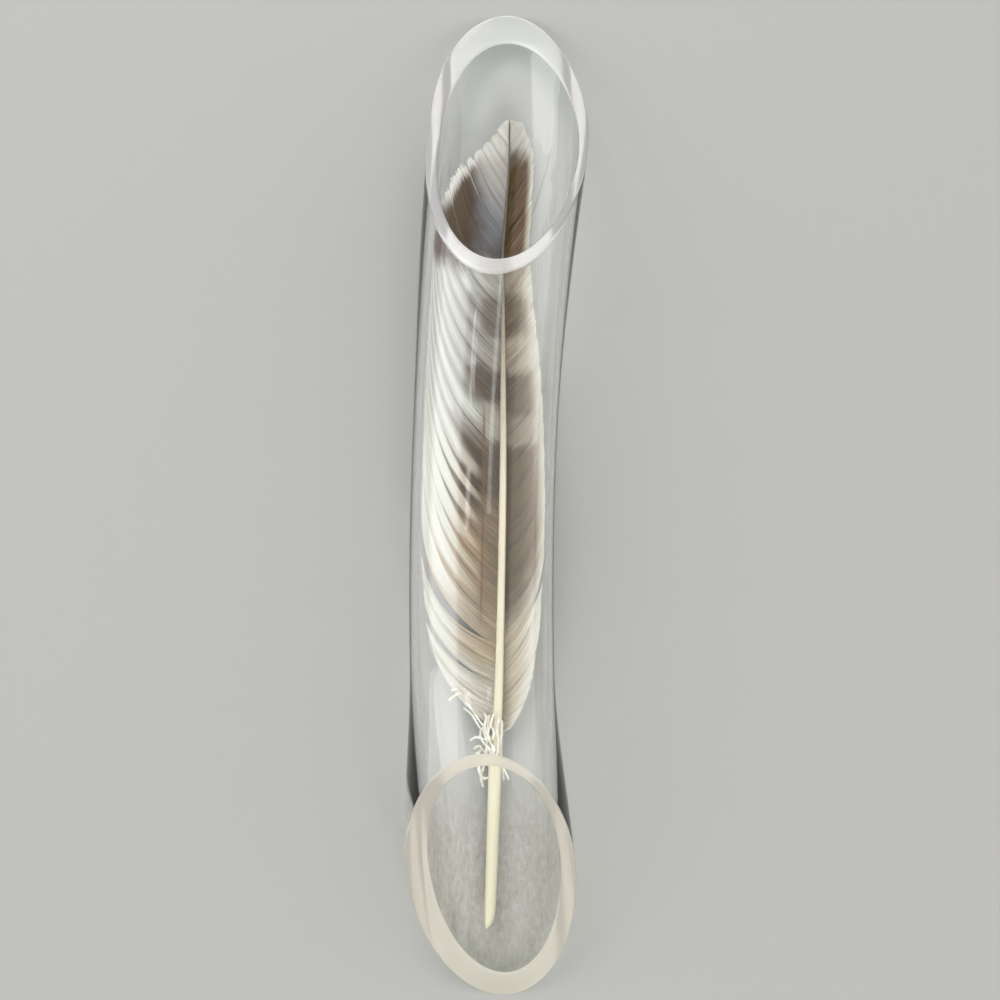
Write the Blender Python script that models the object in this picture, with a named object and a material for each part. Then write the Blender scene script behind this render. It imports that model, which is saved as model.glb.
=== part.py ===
"""Barred flight feather lying loose in a clear glass tube vase, in metres, +Z up.

The tube lies on its side along Y on a flat underside, bent a little, with both slanted
mouths facing up. The feather lies in its bore with the tip at +Y, and its two vanes
curl up the walls. A triple of values holds the middle, the upper end and the lower end.
"""

import math

import bmesh
import bpy
import numpy as np
from mathutils import Vector

# Glass tube: outside, bore and slanted cuts.
TUBE_RADIUS = (0.01995, 0.02275, 0.02350)
WALL_AT_SIDES = (0.0020, 0.0032, 0.0054)
WALL_ABOVE_AND_BELOW = (0.0027, 0.0036, 0.0030)
BORE_SHIFT_SIDEWAYS = (0.00035, 0.00040, 0.00120)
BORE_SHIFT_UPWARDS = (0.0003, 0.0010, 0.0009)
UPPER_FLARE = (0.015, 0.125)
LOWER_FLARE = (-0.045, -0.105)
BEND_RADIUS = 1.05
BEND_MIDDLE_Y = -0.0275
AXIS_X_AT_BEND = -0.0054
BEND_BACK = 0.0065
BEND_BACK_SPAN = (0.092, 0.148)
UPPER_CUT = (0.1374, math.radians(28.8))
LOWER_CUT = (-0.1403, math.radians(30.5))
TUBE_SIDES = 36
TUBE_ROWS = 18
EDGE_DROP = math.cos(math.pi / TUBE_SIDES)

# Feather: shaft.
CLEARANCE = 0.0005
QUILL_END_Y = -0.1206
QUILL_RINGS = 8
QUILL_CUT_SLANT = 0.9
SHAFT_X = 0.0003
SHAFT_SWEEP = 0.0036
SHAFT_STRAIGHT_FROM_Y = 0.020
SHAFT_BEND_POWER = 1.6
SHAFT_TIP_BEND = 0.0021
SHAFT_WIDTH = (
    (-0.1206, 0.0026), (-0.1140, 0.0033), (-0.0760, 0.0039), (-0.0700, 0.0036), (-0.0610, 0.0027),
    (-0.0420, 0.0023), (0.0000, 0.0021), (0.0280, 0.0017), (0.0560, 0.0011), (0.0800, 0.0007),
    (0.1066, 0.0003),
)

# Feather: vanes, made of locks that share their roots. Widths run out from the shaft.
LOCKS = 34
LOCK_PITCH = 0.005459
VANE_BASE_Y = -0.0790
LEFT_WIDTH = (
    (-0.0790, 0.0032), (-0.0755, 0.0056), (-0.0700, 0.0060), (-0.0650, 0.0100),
    (-0.0625, 0.0176), (-0.0590, 0.0211), (-0.0535, 0.0247),
    (-0.0400, 0.0310), (0.0000, 0.0315), (0.0240, 0.0309), (0.0450, 0.0248), (0.0550, 0.0210),
    (0.0670, 0.0172), (0.0775, 0.0120), (0.0887, 0.0074), (0.0950, 0.0049), (0.1020, 0.0024),
    (0.1053, 0.0011), (0.1066, 0.0004),
)
RIGHT_WIDTH = (
    (-0.0790, 0.0028), (-0.0755, 0.0042), (-0.0700, 0.0036), (-0.0655, 0.0045),
    (-0.0635, 0.0072), (-0.0600, 0.0106), (-0.0535, 0.0150), (-0.0430, 0.0166), (-0.0390, 0.0175),
    (-0.0210, 0.0181), (0.0130, 0.0142), (0.0470, 0.0094), (0.0600, 0.0079), (0.0850, 0.0070),
    (0.1000, 0.0038), (0.1053, 0.0011), (0.1066, 0.0004),
)
BARB_SLANT = 0.70
BARB_CURL = 31.0
LEFT_SWEEP = (
    (-0.0650, 0.80), (-0.0565, 0.63), (-0.0500, 0.56), (-0.0415, 0.63), (-0.0300, 0.98),
    (0.0450, 1.00), (0.0670, 1.20), (0.0775, 1.45), (0.0887, 1.66), (0.1020, 1.95),
)
RIGHT_SWEEP = (
    (-0.0655, 0.60), (-0.0620, 0.78), (-0.0560, 1.15), (-0.0480, 1.22), (-0.0400, 1.10),
    (-0.0300, 1.00), (0.0450, 1.00), (0.0900, 2.20),
)
LOCK_ROWS = (0.0, 0.10, 0.22, 0.38, 0.54, 0.70, 0.85, 1.0)
EDGE_STEP = 0.96
ROOT_THICKNESS = 0.0006
EDGE_THICKNESS = 0.00035
LOCK_TILT = 0.0004

# Slits between locks: the row where they start, and how far they open at the vane's edge.
OPEN_SLITS = {(-1, 5): (2, 0.0030), (-1, 7): (1, 0.0080), (1, 7): (5, 0.0050)}
LONG_SLIT = (3, 0.0006)
SHORT_SLIT = (5, 0.0004)

GLASS_COLOUR = (0.86, 0.90, 0.88, 1.0)
FEATHER_COLOUR = (0.30, 0.22, 0.15, 1.0)


def ease(value, span):
    """Rises smoothly from 0 to 1 as value crosses span."""
    t = min(1.0, max(0.0, (value - span[0]) / (span[1] - span[0])))
    return t * t * (3.0 - 2.0 * t)


def along(triple, y):
    """Blends a (middle, upper, lower) triple along the tube."""
    middle, upper, lower = triple
    return middle + (upper - middle) * ease(y, UPPER_FLARE) + (lower - middle) * ease(y, LOWER_FLARE)


def read_profile(points, y):
    """Value at y of a profile given as (y, value) points."""
    return float(np.interp(y, [p[0] for p in points], [p[1] for p in points]))


def axis_x(y):
    bend = (y - BEND_MIDDLE_Y) ** 2 / (2.0 * BEND_RADIUS)
    return AXIS_X_AT_BEND + bend - BEND_BACK * ease(y, BEND_BACK_SPAN)


def outer_point(y, turn):
    """Point on the outside of the glass; turn is 0 straight down and grows towards +X."""
    radius = along(TUBE_RADIUS, y)
    return Vector((axis_x(y) + radius * math.sin(turn), y, radius * (EDGE_DROP - math.cos(turn))))


def bore_size(y, lift):
    radius = along(TUBE_RADIUS, y) - lift
    return radius - along(WALL_AT_SIDES, y), radius - along(WALL_ABOVE_AND_BELOW, y)


def bore_point(y, turn, lift=0.0):
    """Point on the bore, or lifted off it towards the middle of the tube."""
    half_width, half_height = bore_size(y, lift)
    x = axis_x(y) + along(BORE_SHIFT_SIDEWAYS, y) + half_width * math.sin(turn)
    middle_z = along(TUBE_RADIUS, y) * EDGE_DROP + along(BORE_SHIFT_UPWARDS, y)
    return Vector((x, y, middle_z - half_height * math.cos(turn)))


def meet_cut(surface, turn, cut, towards):
    """Y where a line along the tube's surface meets a slanted cut."""
    reach, slant = cut
    y = reach
    for _ in range(12):
        y = reach - towards * surface(y, turn).z / math.tan(slant)
    return y


def new_object(name, colour, roughness, transmission):
    material = bpy.data.materials.new(name)
    material.use_nodes = True
    shader = material.node_tree.nodes["Principled BSDF"]
    shader.inputs["Base Color"].default_value = colour
    shader.inputs["Roughness"].default_value = roughness
    shader.inputs["Metallic"].default_value = 0.0
    shader.inputs["Transmission Weight"].default_value = transmission
    mesh = bpy.data.meshes.new(name)
    mesh.materials.append(material)
    item = bpy.data.objects.new(name, mesh)
    bpy.context.collection.objects.link(item)
    return item


def finish_mesh(item, bm, sharp_angle):
    bmesh.ops.recalc_face_normals(bm, faces=bm.faces)
    bm.to_mesh(item.data)
    bm.free()
    item.data.shade_smooth()
    item.data.set_sharp_from_angle(angle=math.radians(sharp_angle))


def surface_grid(bm, surface):
    """Rows of vertices along the tube, from the lower cut to the upper one.

    A flat side, not an edge, faces straight down, so the tube stands on a flat strip.
    """
    rows = [[] for _ in range(TUBE_ROWS + 1)]
    for side in range(TUBE_SIDES):
        turn = (side + 0.5) * math.tau / TUBE_SIDES
        low = meet_cut(surface, turn, LOWER_CUT, -1)
        high = meet_cut(surface, turn, UPPER_CUT, 1)
        for row in range(TUBE_ROWS + 1):
            y = low + (high - low) * row / TUBE_ROWS
            rows[row].append(bm.verts.new(surface(y, turn)))
    return rows


def bridge_rings(bm, first, second):
    count = len(first)
    for i in range(count):
        j = (i + 1) % count
        bm.faces.new((first[i], first[j], second[j], second[i]))


def build_tube():
    item = new_object("glass_tube", GLASS_COLOUR, 0.03, 1.0)
    bm = bmesh.new()
    outside = surface_grid(bm, outer_point)
    bore = surface_grid(bm, bore_point)
    for row in range(TUBE_ROWS):
        bridge_rings(bm, outside[row], outside[row + 1])
        bridge_rings(bm, bore[row], bore[row + 1])
    bridge_rings(bm, outside[0], bore[0])
    bridge_rings(bm, outside[-1], bore[-1])
    finish_mesh(item, bm, 35.0)
    return item


def shaft_x(y):
    back = max(0.0, SHAFT_STRAIGHT_FROM_Y - y) / (SHAFT_STRAIGHT_FROM_Y - QUILL_END_Y)
    bend = SHAFT_TIP_BEND * ease(y, (0.062, 0.100))
    return SHAFT_X - SHAFT_SWEEP * back ** SHAFT_BEND_POWER + bend


def feather_point(y, distance, lift):
    """Point above the bore, at a signed distance round it from the shaft's line."""
    half_width, half_height = bore_size(y, lift)
    middle_x = axis_x(y) + along(BORE_SHIFT_SIDEWAYS, y)
    shaft_turn = math.asin((shaft_x(y) - middle_x) / half_width)
    turn = shaft_turn + distance / (0.5 * (half_width + half_height))
    return bore_point(y, turn, lift)


def shaft_ring(bm, y, flatness):
    """Ring of ten points: round where flatness is 0, keel-shaped between vanes where it is 1."""
    half = 0.5 * read_profile(SHAFT_WIDTH, y)
    ridge = 2.0 * half
    vane = root_thickness(y)
    keel = (
        (1.0, vane), (0.75, 0.62 * ridge), (0.0, ridge), (-0.75, 0.62 * ridge), (-1.0, vane),
        (-1.0, 0.0), (-0.5, 0.0), (0.0, 0.0), (0.5, 0.0), (1.0, 0.0),
    )
    cut = QUILL_CUT_SLANT if y == QUILL_END_Y else 0.0
    ring = []
    for i, (side, lift) in enumerate(keel):
        angle = math.radians(18.0 + 36.0 * i)
        side = half * (flatness * side + (1.0 - flatness) * math.cos(angle))
        lift = flatness * lift + (1.0 - flatness) * half * (1.0 + math.sin(angle))
        ring.append(bm.verts.new(feather_point(y + cut * (side + half), side, CLEARANCE + lift)))
    return ring


def root_thickness(y):
    return min(ROOT_THICKNESS, 0.5 * read_profile(SHAFT_WIDTH, y))


def barb_rise(side, root_y, out):
    """How far a barb has moved towards the tip, at a distance out from the shaft."""
    sweep = read_profile(LEFT_SWEEP if side < 0 else RIGHT_SWEEP, root_y)
    return sweep * (BARB_SLANT * out + BARB_CURL * out * out)


def lock_line(bm, side, root_y, reach, roots, start, opening, tilt):
    """Pairs of upper and lower vertices out along one barb, the first pair on the shaft.

    From row start on, the line moves by opening along the shaft and by tilt off the glass.
    """
    half = 0.5 * read_profile(SHAFT_WIDTH, root_y)
    width = read_profile(LEFT_WIDTH if side < 0 else RIGHT_WIDTH, root_y) * reach - half
    line = [roots]
    for row in LOCK_ROWS[1:]:
        out = width * row
        apart = max(0.0, (row - LOCK_ROWS[start]) / (1.0 - LOCK_ROWS[start]))
        y = root_y + barb_rise(side, root_y, out) + opening * apart
        lift = CLEARANCE + tilt * apart
        root = root_thickness(root_y)
        thick = root + (min(EDGE_THICKNESS, root) - root) * row
        upper = bm.verts.new(feather_point(y, side * (half + out), lift + thick))
        lower = bm.verts.new(feather_point(y, side * (half + out), lift))
        line.append((upper, lower))
    return line


def share_rows(line, other, rows):
    """Gives a line the other line's vertices in its first rows."""
    for row in range(1, rows + 1):
        for vertex in line[row]:
            vertex.tag = True
        line[row] = other[row]


def slit_of(side, lock):
    if (side, lock) in OPEN_SLITS:
        return OPEN_SLITS[(side, lock)]
    return LONG_SLIT if side < 0 and lock % 2 else SHORT_SLIT


def skin_strip(bm, first, second):
    """Upper and lower faces between two barb lines, and the outer end."""
    for row in range(len(first) - 1):
        for layer in (0, 1):
            near = (first[row][layer], second[row][layer])
            bm.faces.new(near + (second[row + 1][layer], first[row + 1][layer]))
    bm.faces.new((first[-1][0], second[-1][0], second[-1][1], first[-1][1]))


def wall_line(bm, line, start):
    """Side wall of a lock, outwards from a row."""
    for row in range(start, len(line) - 1):
        bm.faces.new((line[row][0], line[row][1], line[row + 1][1], line[row + 1][0]))


def build_vane(bm, side, rings):
    """One vane: locks whose inner rows are shared and whose outer rows stand apart."""
    upper, lower = (0, 9) if side > 0 else (4, 5)
    roots = [(ring[upper], ring[lower]) for ring in rings]
    previous = None
    for lock in range(LOCKS):
        start, opening = slit_of(side, lock)
        next_start, next_opening = slit_of(side, lock + 1)
        base = VANE_BASE_Y + lock * LOCK_PITCH
        low = lock_line(bm, side, base, EDGE_STEP, roots[2 * lock], start, 0.5 * opening, 0.0)
        middle = lock_line(
            bm, side, base + 0.5 * LOCK_PITCH, 1.0, roots[2 * lock + 1], min(start, next_start),
            0.25 * (opening - next_opening), 0.5 * LOCK_TILT
        )
        high = lock_line(
            bm, side, base + LOCK_PITCH, EDGE_STEP, roots[2 * lock + 2], next_start,
            -0.5 * next_opening, LOCK_TILT
        )
        if previous is None:
            start = 0
        else:
            share_rows(low, previous, start)
        skin_strip(bm, low, middle)
        skin_strip(bm, middle, high)
        wall_line(bm, low, start)
        wall_line(bm, high, next_start if lock < LOCKS - 1 else 0)
        previous = high


def build_feather():
    item = new_object("feather", FEATHER_COLOUR, 0.6, 0.0)
    bm = bmesh.new()
    vane_rings = [
        shaft_ring(bm, VANE_BASE_Y + 0.5 * i * LOCK_PITCH, 1.0) for i in range(2 * LOCKS + 1)
    ]
    quill_rings = []
    for i in range(QUILL_RINGS):
        part = i / QUILL_RINGS
        quill_rings.append(shaft_ring(bm, QUILL_END_Y + (VANE_BASE_Y - QUILL_END_Y) * part, part ** 3))
    for first, second in zip(quill_rings, quill_rings[1:] + vane_rings[:1]):
        bridge_rings(bm, first, second)
    for first, second in zip(vane_rings, vane_rings[1:]):
        for i in (0, 1, 2, 3, 5, 6, 7, 8):
            bm.faces.new((first[i], first[i + 1], second[i + 1], second[i]))
    bm.faces.new(quill_rings[0])
    bm.faces.new(vane_rings[-1])
    for side in (-1, 1):
        build_vane(bm, side, vane_rings)
    bmesh.ops.delete(bm, geom=[v for v in bm.verts if v.tag], context="VERTS")
    finish_mesh(item, bm, 50.0)
    return item


def centre_on_origin(items):
    """Puts the middle of the footprint at X 0, Y 0; the underside is already at Z 0."""
    corners = [v.co for item in items for v in item.data.vertices]
    low = Vector((min(c.x for c in corners), min(c.y for c in corners), 0.0))
    high = Vector((max(c.x for c in corners), max(c.y for c in corners), 0.0))
    for item in items:
        for vertex in item.data.vertices:
            vertex.co -= 0.5 * (low + high)


for old in list(bpy.data.objects):
    bpy.data.objects.remove(old, do_unlink=True)
centre_on_origin([build_tube(), build_feather()])
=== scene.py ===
"""Looks of a barred flight feather lying in a clear glass tube vase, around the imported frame."""

import math

import bmesh
import bpy
import numpy as np
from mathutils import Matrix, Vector


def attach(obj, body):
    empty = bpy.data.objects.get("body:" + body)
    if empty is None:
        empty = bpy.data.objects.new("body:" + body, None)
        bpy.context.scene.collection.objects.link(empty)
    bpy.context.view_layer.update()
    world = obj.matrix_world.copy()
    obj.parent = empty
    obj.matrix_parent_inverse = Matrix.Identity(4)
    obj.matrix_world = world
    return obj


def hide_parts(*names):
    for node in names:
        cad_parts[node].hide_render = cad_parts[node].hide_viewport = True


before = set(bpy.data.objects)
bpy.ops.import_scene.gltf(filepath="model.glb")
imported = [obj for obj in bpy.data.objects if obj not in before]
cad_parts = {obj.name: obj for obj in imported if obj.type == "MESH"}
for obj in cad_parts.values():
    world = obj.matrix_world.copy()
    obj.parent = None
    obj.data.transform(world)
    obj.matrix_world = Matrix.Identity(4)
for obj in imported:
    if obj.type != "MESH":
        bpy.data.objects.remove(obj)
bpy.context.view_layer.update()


# ---------------------------------------------------------------- the glass tube
# One heavy-walled tube of clear, faintly grey-green glass, drawn by hand: it bends a little
# and flares at both ends, which were sawn off at a slant, ground flat and melted round at
# their edges. It lies on its side, with both cut faces up.

# A triple of values holds the middle, the upper end and the lower end.
TUBE_RADIUS = (0.01995, 0.02275, 0.02350)
WALL_AT_SIDES = (0.0020, 0.0032, 0.0054)
WALL_ABOVE_AND_BELOW = (0.0027, 0.0036, 0.0030)
BORE_SHIFT_SIDEWAYS = (0.00035, 0.00040, 0.00120)
BORE_SHIFT_UPWARDS = (0.0003, 0.0010, 0.0009)
UPPER_FLARE = (0.015, 0.125)
LOWER_FLARE = (-0.045, -0.105)
BEND_RADIUS = 1.05
BEND_MIDDLE_Y = -0.0275
AXIS_X_AT_BEND = -0.0054
BEND_BACK = 0.0065
BEND_BACK_SPAN = (0.092, 0.148)
# A cut: where it would reach the table, and its slant.
UPPER_CUT = (0.1374, math.radians(28.8))
LOWER_CUT = (-0.1403, math.radians(30.5))
CUT_ROUNDS = 12
SIDES_ROUND_TUBE = 200
ROWS_ALONG_TUBE = 200
MELTED_EDGE = 0.0006
WALL_BEFORE_EDGE = 1.6 * MELTED_EDGE
MELTED_EDGE_STEPS = 5
GROUND_FACE_STEPS = 4

# A finish of glass: colour, roughness, transmission and the tint of the light that it lets by.
CLEAN = (1.0, 1.0, 1.0)
CLEAR_WALL = (CLEAN, 0.0, 1.0, (0.94, 0.95, 0.94))
WASHED_END = ((0.98, 0.97, 0.97), 0.28, 0.72, (0.88, 0.88, 0.87))
DUSTY_END = ((0.71, 0.67, 0.57), 0.38, 0.50, (0.80, 0.78, 0.72))
GLASS_IOR = 1.47
BODY_COLOUR = (0.80, 0.86, 0.83, 1.0)
BODY_DENSITY = 5.0
DUSTY_SPAN = (-0.070, -0.100)
DUST_GRAIN = (720.0, 360.0, 720.0)
DUST_SPOTS = (0.32, 0.72)
DUST_TONE = (0.57, 0.46, 0.34)


def ease(value, span):
    """Rises smoothly from 0 to 1 as value crosses span."""
    t = np.clip((value - span[0]) / (span[1] - span[0]), 0.0, 1.0)
    return t * t * (3.0 - 2.0 * t)


def along(triple, y):
    """Blends a (middle, upper, lower) triple along the tube."""
    middle, upper, lower = triple
    return middle + (upper - middle) * ease(y, UPPER_FLARE) + (lower - middle) * ease(y, LOWER_FLARE)


def axis_x(y):
    """Where the tube's axis runs: one long bend, and a short bend back at the upper end."""
    bend = (y - BEND_MIDDLE_Y) ** 2 / (2.0 * BEND_RADIUS)
    return AXIS_X_AT_BEND + bend - BEND_BACK * ease(y, BEND_BACK_SPAN)


def outer_point(y, turn):
    """Points on the outside of the glass; turn is 0 straight down and grows towards +X."""
    radius = along(TUBE_RADIUS, y)
    return np.stack((axis_x(y) + radius * np.sin(turn), y, radius * (1.0 - np.cos(turn))), axis=-1)


def bore_size(y, lift):
    """Half the width and half the height of the bore, less lift."""
    radius = along(TUBE_RADIUS, y) - lift
    return radius - along(WALL_AT_SIDES, y), radius - along(WALL_ABOVE_AND_BELOW, y)


def bore_point(y, turn, lift=0.0):
    """Points on the bore, or lifted off it towards the middle of the tube."""
    half_width, half_height = bore_size(y, lift)
    x = axis_x(y) + along(BORE_SHIFT_SIDEWAYS, y) + half_width * np.sin(turn)
    middle_z = along(TUBE_RADIUS, y) + along(BORE_SHIFT_UPWARDS, y)
    return np.stack((x, y, middle_z - half_height * np.cos(turn)), axis=-1)


def meet_cut(surface, turn, cut, towards):
    """Y where lines along the tube's surface meet a slanted cut, closed in on in rounds."""
    reach, slant = cut
    y = np.full_like(turn, reach)
    for _ in range(CUT_ROUNDS):
        y = reach - towards * surface(y, turn)[..., 2] / math.tan(slant)
    return y


def rounded_corner(before, corner, after):
    """Rows that turn a sharp corner into a round one."""
    rows = []
    for step in range(MELTED_EDGE_STEPS + 1):
        t = step / MELTED_EDGE_STEPS
        rows.append((1 - t) ** 2 * before + 2 * t * (1 - t) * corner + t * t * after)
    return rows


def cut_face(turn, cut, towards):
    """Rows over one cut end, from the outside of the glass across the wall into the bore."""
    outer_y = meet_cut(outer_point, turn, cut, towards)
    inner_y = meet_cut(bore_point, turn, cut, towards)
    outer_edge = outer_point(outer_y, turn)
    inner_edge = bore_point(inner_y, turn)
    across = inner_edge - outer_edge
    across *= MELTED_EDGE / np.linalg.norm(across, axis=1, keepdims=True)
    before = outer_point(outer_y - towards * MELTED_EDGE, turn)
    after = bore_point(inner_y - towards * MELTED_EDGE, turn)
    rows = rounded_corner(before, outer_edge, outer_edge + across)
    for step in range(1, GROUND_FACE_STEPS):
        t = step / GROUND_FACE_STEPS
        rows.append((1 - t) * (outer_edge + across) + t * (inner_edge - across))
    return rows + rounded_corner(inner_edge - across, inner_edge, after)


def wall_rows(surface, turn, towards):
    """Rows along the tube between the two cuts, in the direction of towards."""
    low = meet_cut(surface, turn, LOWER_CUT, -1) + WALL_BEFORE_EDGE
    high = meet_cut(surface, turn, UPPER_CUT, 1) - WALL_BEFORE_EDGE
    rows = [
        surface(low + (high - low) * row / ROWS_ALONG_TUBE, turn)
        for row in range(ROWS_ALONG_TUBE + 1)
    ]
    return rows if towards > 0 else rows[::-1]


def faces_round(rings, sides, closed=False):
    """Faces between rings of points; closed also joins the last ring to the first."""
    faces = []
    for ring in range(rings if closed else rings - 1):
        here = ring * sides
        there = (ring + 1) % rings * sides
        for side in range(sides):
            beside = (side + 1) % sides
            faces.append((here + side, here + beside, there + beside, there + side))
    return faces


def new_piece(name, vertices, faces, materials):
    mesh = bpy.data.meshes.new(name)
    mesh.from_pydata([tuple(v) for v in vertices], [], faces)
    for material in materials:
        mesh.materials.append(material)
    piece = bpy.data.objects.new(name, mesh)
    bpy.context.collection.objects.link(piece)
    return piece


def point_outwards(piece):
    bm = bmesh.new()
    bm.from_mesh(piece.data)
    bmesh.ops.recalc_face_normals(bm, faces=bm.faces)
    bm.to_mesh(piece.data)
    bm.free()
    piece.data.shade_smooth()


def node_material(name):
    """A material with its node tree and its Principled shader."""
    material = bpy.data.materials.new(name)
    material.use_nodes = True
    tree = material.node_tree
    return material, tree, tree.nodes["Principled BSDF"]


def set_inputs(node, values):
    for name, value in values.items():
        node.inputs[name].default_value = value


def feed(tree, socket, value):
    """Gives a socket a number, a colour or the output of another node."""
    if isinstance(value, bpy.types.NodeSocket):
        tree.links.new(value, socket)
    else:
        socket.default_value = (*value, 1.0) if isinstance(value, tuple) else value


def attribute(tree, name):
    node = tree.nodes.new("ShaderNodeAttribute")
    node.attribute_name = name
    return node.outputs["Fac"]


def object_place(tree):
    return tree.nodes.new("ShaderNodeTexCoord").outputs["Object"]


def stretched(tree, place, scale):
    """Coordinates scaled along each axis, for a grain that is longer one way."""
    node = tree.nodes.new("ShaderNodeMapping")
    node.inputs["Scale"].default_value = scale
    tree.links.new(place, node.inputs["Vector"])
    return node.outputs["Vector"]


def noise(tree, vector, scale, detail, roughness=0.5):
    node = tree.nodes.new("ShaderNodeTexNoise")
    set_inputs(node, {"Scale": scale, "Detail": detail, "Roughness": roughness})
    tree.links.new(vector, node.inputs["Vector"])
    return node.outputs["Fac"]


def ramp(tree, value, low, high, from_low=0.0, from_high=1.0, kind="LINEAR"):
    """Goes from from_low to from_high while value goes from low to high."""
    node = tree.nodes.new("ShaderNodeMapRange")
    node.interpolation_type = kind
    set_inputs(node, {"From Min": low, "From Max": high, "To Min": from_low, "To Max": from_high})
    tree.links.new(value, node.inputs["Value"])
    return node.outputs["Result"]


def maths(tree, kind, first, second=None):
    node = tree.nodes.new("ShaderNodeMath")
    node.operation = kind
    feed(tree, node.inputs[0], first)
    if second is not None:
        feed(tree, node.inputs[1], second)
    return node.outputs["Value"]


def blend(tree, amount, first, second, kind="MIX"):
    node = tree.nodes.new("ShaderNodeMix")
    node.data_type = "RGBA"
    node.blend_type = kind
    for name, value in (("Factor", amount), ("A", first), ("B", second)):
        feed(tree, node.inputs[name], value)
    return node.outputs["Result"]


def glass(name, colour, roughness, transmission, light_tint):
    """Glass that also lets the lamps by onto what lies behind it, as real glass does."""
    material, tree, shader = node_material(name)
    set_inputs(shader, {
        "Base Color": (*colour, 1.0), "Roughness": roughness, "IOR": GLASS_IOR,
        "Transmission Weight": transmission,
    })
    path = tree.nodes.new("ShaderNodeLightPath")
    open_way = tree.nodes.new("ShaderNodeBsdfTransparent")
    open_way.inputs["Color"].default_value = (*light_tint, 1.0)
    mix = tree.nodes.new("ShaderNodeMixShader")
    tree.links.new(path.outputs["Is Shadow Ray"], mix.inputs["Fac"])
    tree.links.new(shader.outputs["BSDF"], mix.inputs[1])
    tree.links.new(open_way.outputs["BSDF"], mix.inputs[2])
    tree.links.new(mix.outputs["Shader"], tree.nodes["Material Output"].inputs["Surface"])
    return material


def clear_glass():
    """Clear glass with a faint grey-green body, and a spotty film of dust inside the lower mouth.

    The outside and the bore share it, because light has to enter and leave a body by one material.
    """
    material = glass("clear drawn glass", *CLEAR_WALL)
    tree = material.node_tree
    body = tree.nodes.new("ShaderNodeVolumeAbsorption")
    set_inputs(body, {"Color": BODY_COLOUR, "Density": BODY_DENSITY})
    tree.links.new(body.outputs["Volume"], tree.nodes["Material Output"].inputs["Volume"])
    grain = noise(tree, stretched(tree, object_place(tree), DUST_GRAIN), 1.0, 6.0, 0.75)
    film = maths(tree, "MULTIPLY", attribute(tree, "dust"), ramp(tree, grain, *DUST_SPOTS))
    tone = blend(tree, film, CLEAN, DUST_TONE)
    tree.links.new(tone, tree.nodes["Principled BSDF"].inputs["Base Color"])
    return material


turns = np.arange(SIDES_ROUND_TUBE) * math.tau / SIDES_ROUND_TUBE
upper_face = cut_face(turns, UPPER_CUT, 1)
lower_face = cut_face(turns, LOWER_CUT, -1)[::-1]
outside = wall_rows(outer_point, turns, 1)
bore = wall_rows(bore_point, turns, -1)
tube_rows = outside + upper_face + bore + lower_face
tube_points = np.concatenate(tube_rows)
upper_ground = range(len(outside), len(outside) + len(upper_face) - 1)
bore_rows = range(upper_ground.stop, upper_ground.stop + len(bore) + 1)
lower_ground = range(bore_rows.stop, len(tube_rows) - 1)

# The frame has its origin in the middle of the tube's footprint.
footprint = 0.5 * (tube_points.min(axis=0) + tube_points.max(axis=0))
TO_FRAME = np.array((-footprint[0], -footprint[1], 0.0))


def finish_of_row(row):
    """Which finish a row of faces has: clear, or one of the two ground ends."""
    for finish, rows in enumerate((upper_ground, lower_ground), start=1):
        if row in rows:
            return finish
    return 0


tube_faces = faces_round(len(tube_rows), SIDES_ROUND_TUBE, closed=True)
tube_finish = [finish_of_row(face // SIDES_ROUND_TUBE) for face in range(len(tube_faces))]
tube_materials = [
    clear_glass(), glass("ground edge, washed", *WASHED_END), glass("ground edge, dusty", *DUSTY_END),
]
glass_tube = new_piece("drawn_glass_tube", tube_points + TO_FRAME, tube_faces, tube_materials)
glass_tube.data.polygons.foreach_set("material_index", tube_finish)
dust = np.zeros(len(tube_points))
on_bore = slice(bore_rows.start * SIDES_ROUND_TUBE, bore_rows.stop * SIDES_ROUND_TUBE)
dust[on_bore] = ease(tube_points[on_bore, 1], DUSTY_SPAN)
glass_tube.data.attributes.new("dust", "FLOAT", "POINT").data.foreach_set("value", dust)
point_outwards(glass_tube)
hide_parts("glass_tube")
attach(glass_tube, "root")


# ---------------------------------------------------------------- quill and shaft
# The feather's backbone: a bare, hollow quill of translucent cream horn, its end shrunk
# to a slanted point, which runs on as a solid shaft that thins to a hair at the tip.
# The underside shows, with a shallow groove along it.

CLEARANCE = 0.0005
QUILL_END_Y = -0.1206
VANE_BASE_Y = -0.0790
VANE_TIP_Y = 0.1066
SHAFT_X = 0.0003
SHAFT_SWEEP = 0.0036
SHAFT_STRAIGHT_FROM_Y = 0.020
SHAFT_BEND_POWER = 1.6
SHAFT_TIP_BEND = 0.0021
SHAFT_TIP_BEND_SPAN = (0.062, 0.100)
# Width of the shaft at places along it.
SHAFT_WIDTH = (
    (-0.1206, 0.0018), (-0.1201, 0.0024), (-0.1190, 0.0029), (-0.1140, 0.0034), (-0.0760, 0.0039),
    (-0.0700, 0.0036), (-0.0610, 0.0027), (-0.0420, 0.0023), (0.0000, 0.0021), (0.0280, 0.0017),
    (0.0560, 0.0011), (0.0800, 0.0007), (0.1066, 0.0003),
)
GROOVE_SPAN = (VANE_BASE_Y - 0.012, VANE_BASE_Y + 0.012)
GROOVE_WIDTH = 0.30
GROOVE_DEPTH = 0.22
END_SLANT = 0.9
END_SLANT_LENGTH = 0.006
SHAFT_RINGS = 260
SHAFT_SIDES = 20

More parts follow.
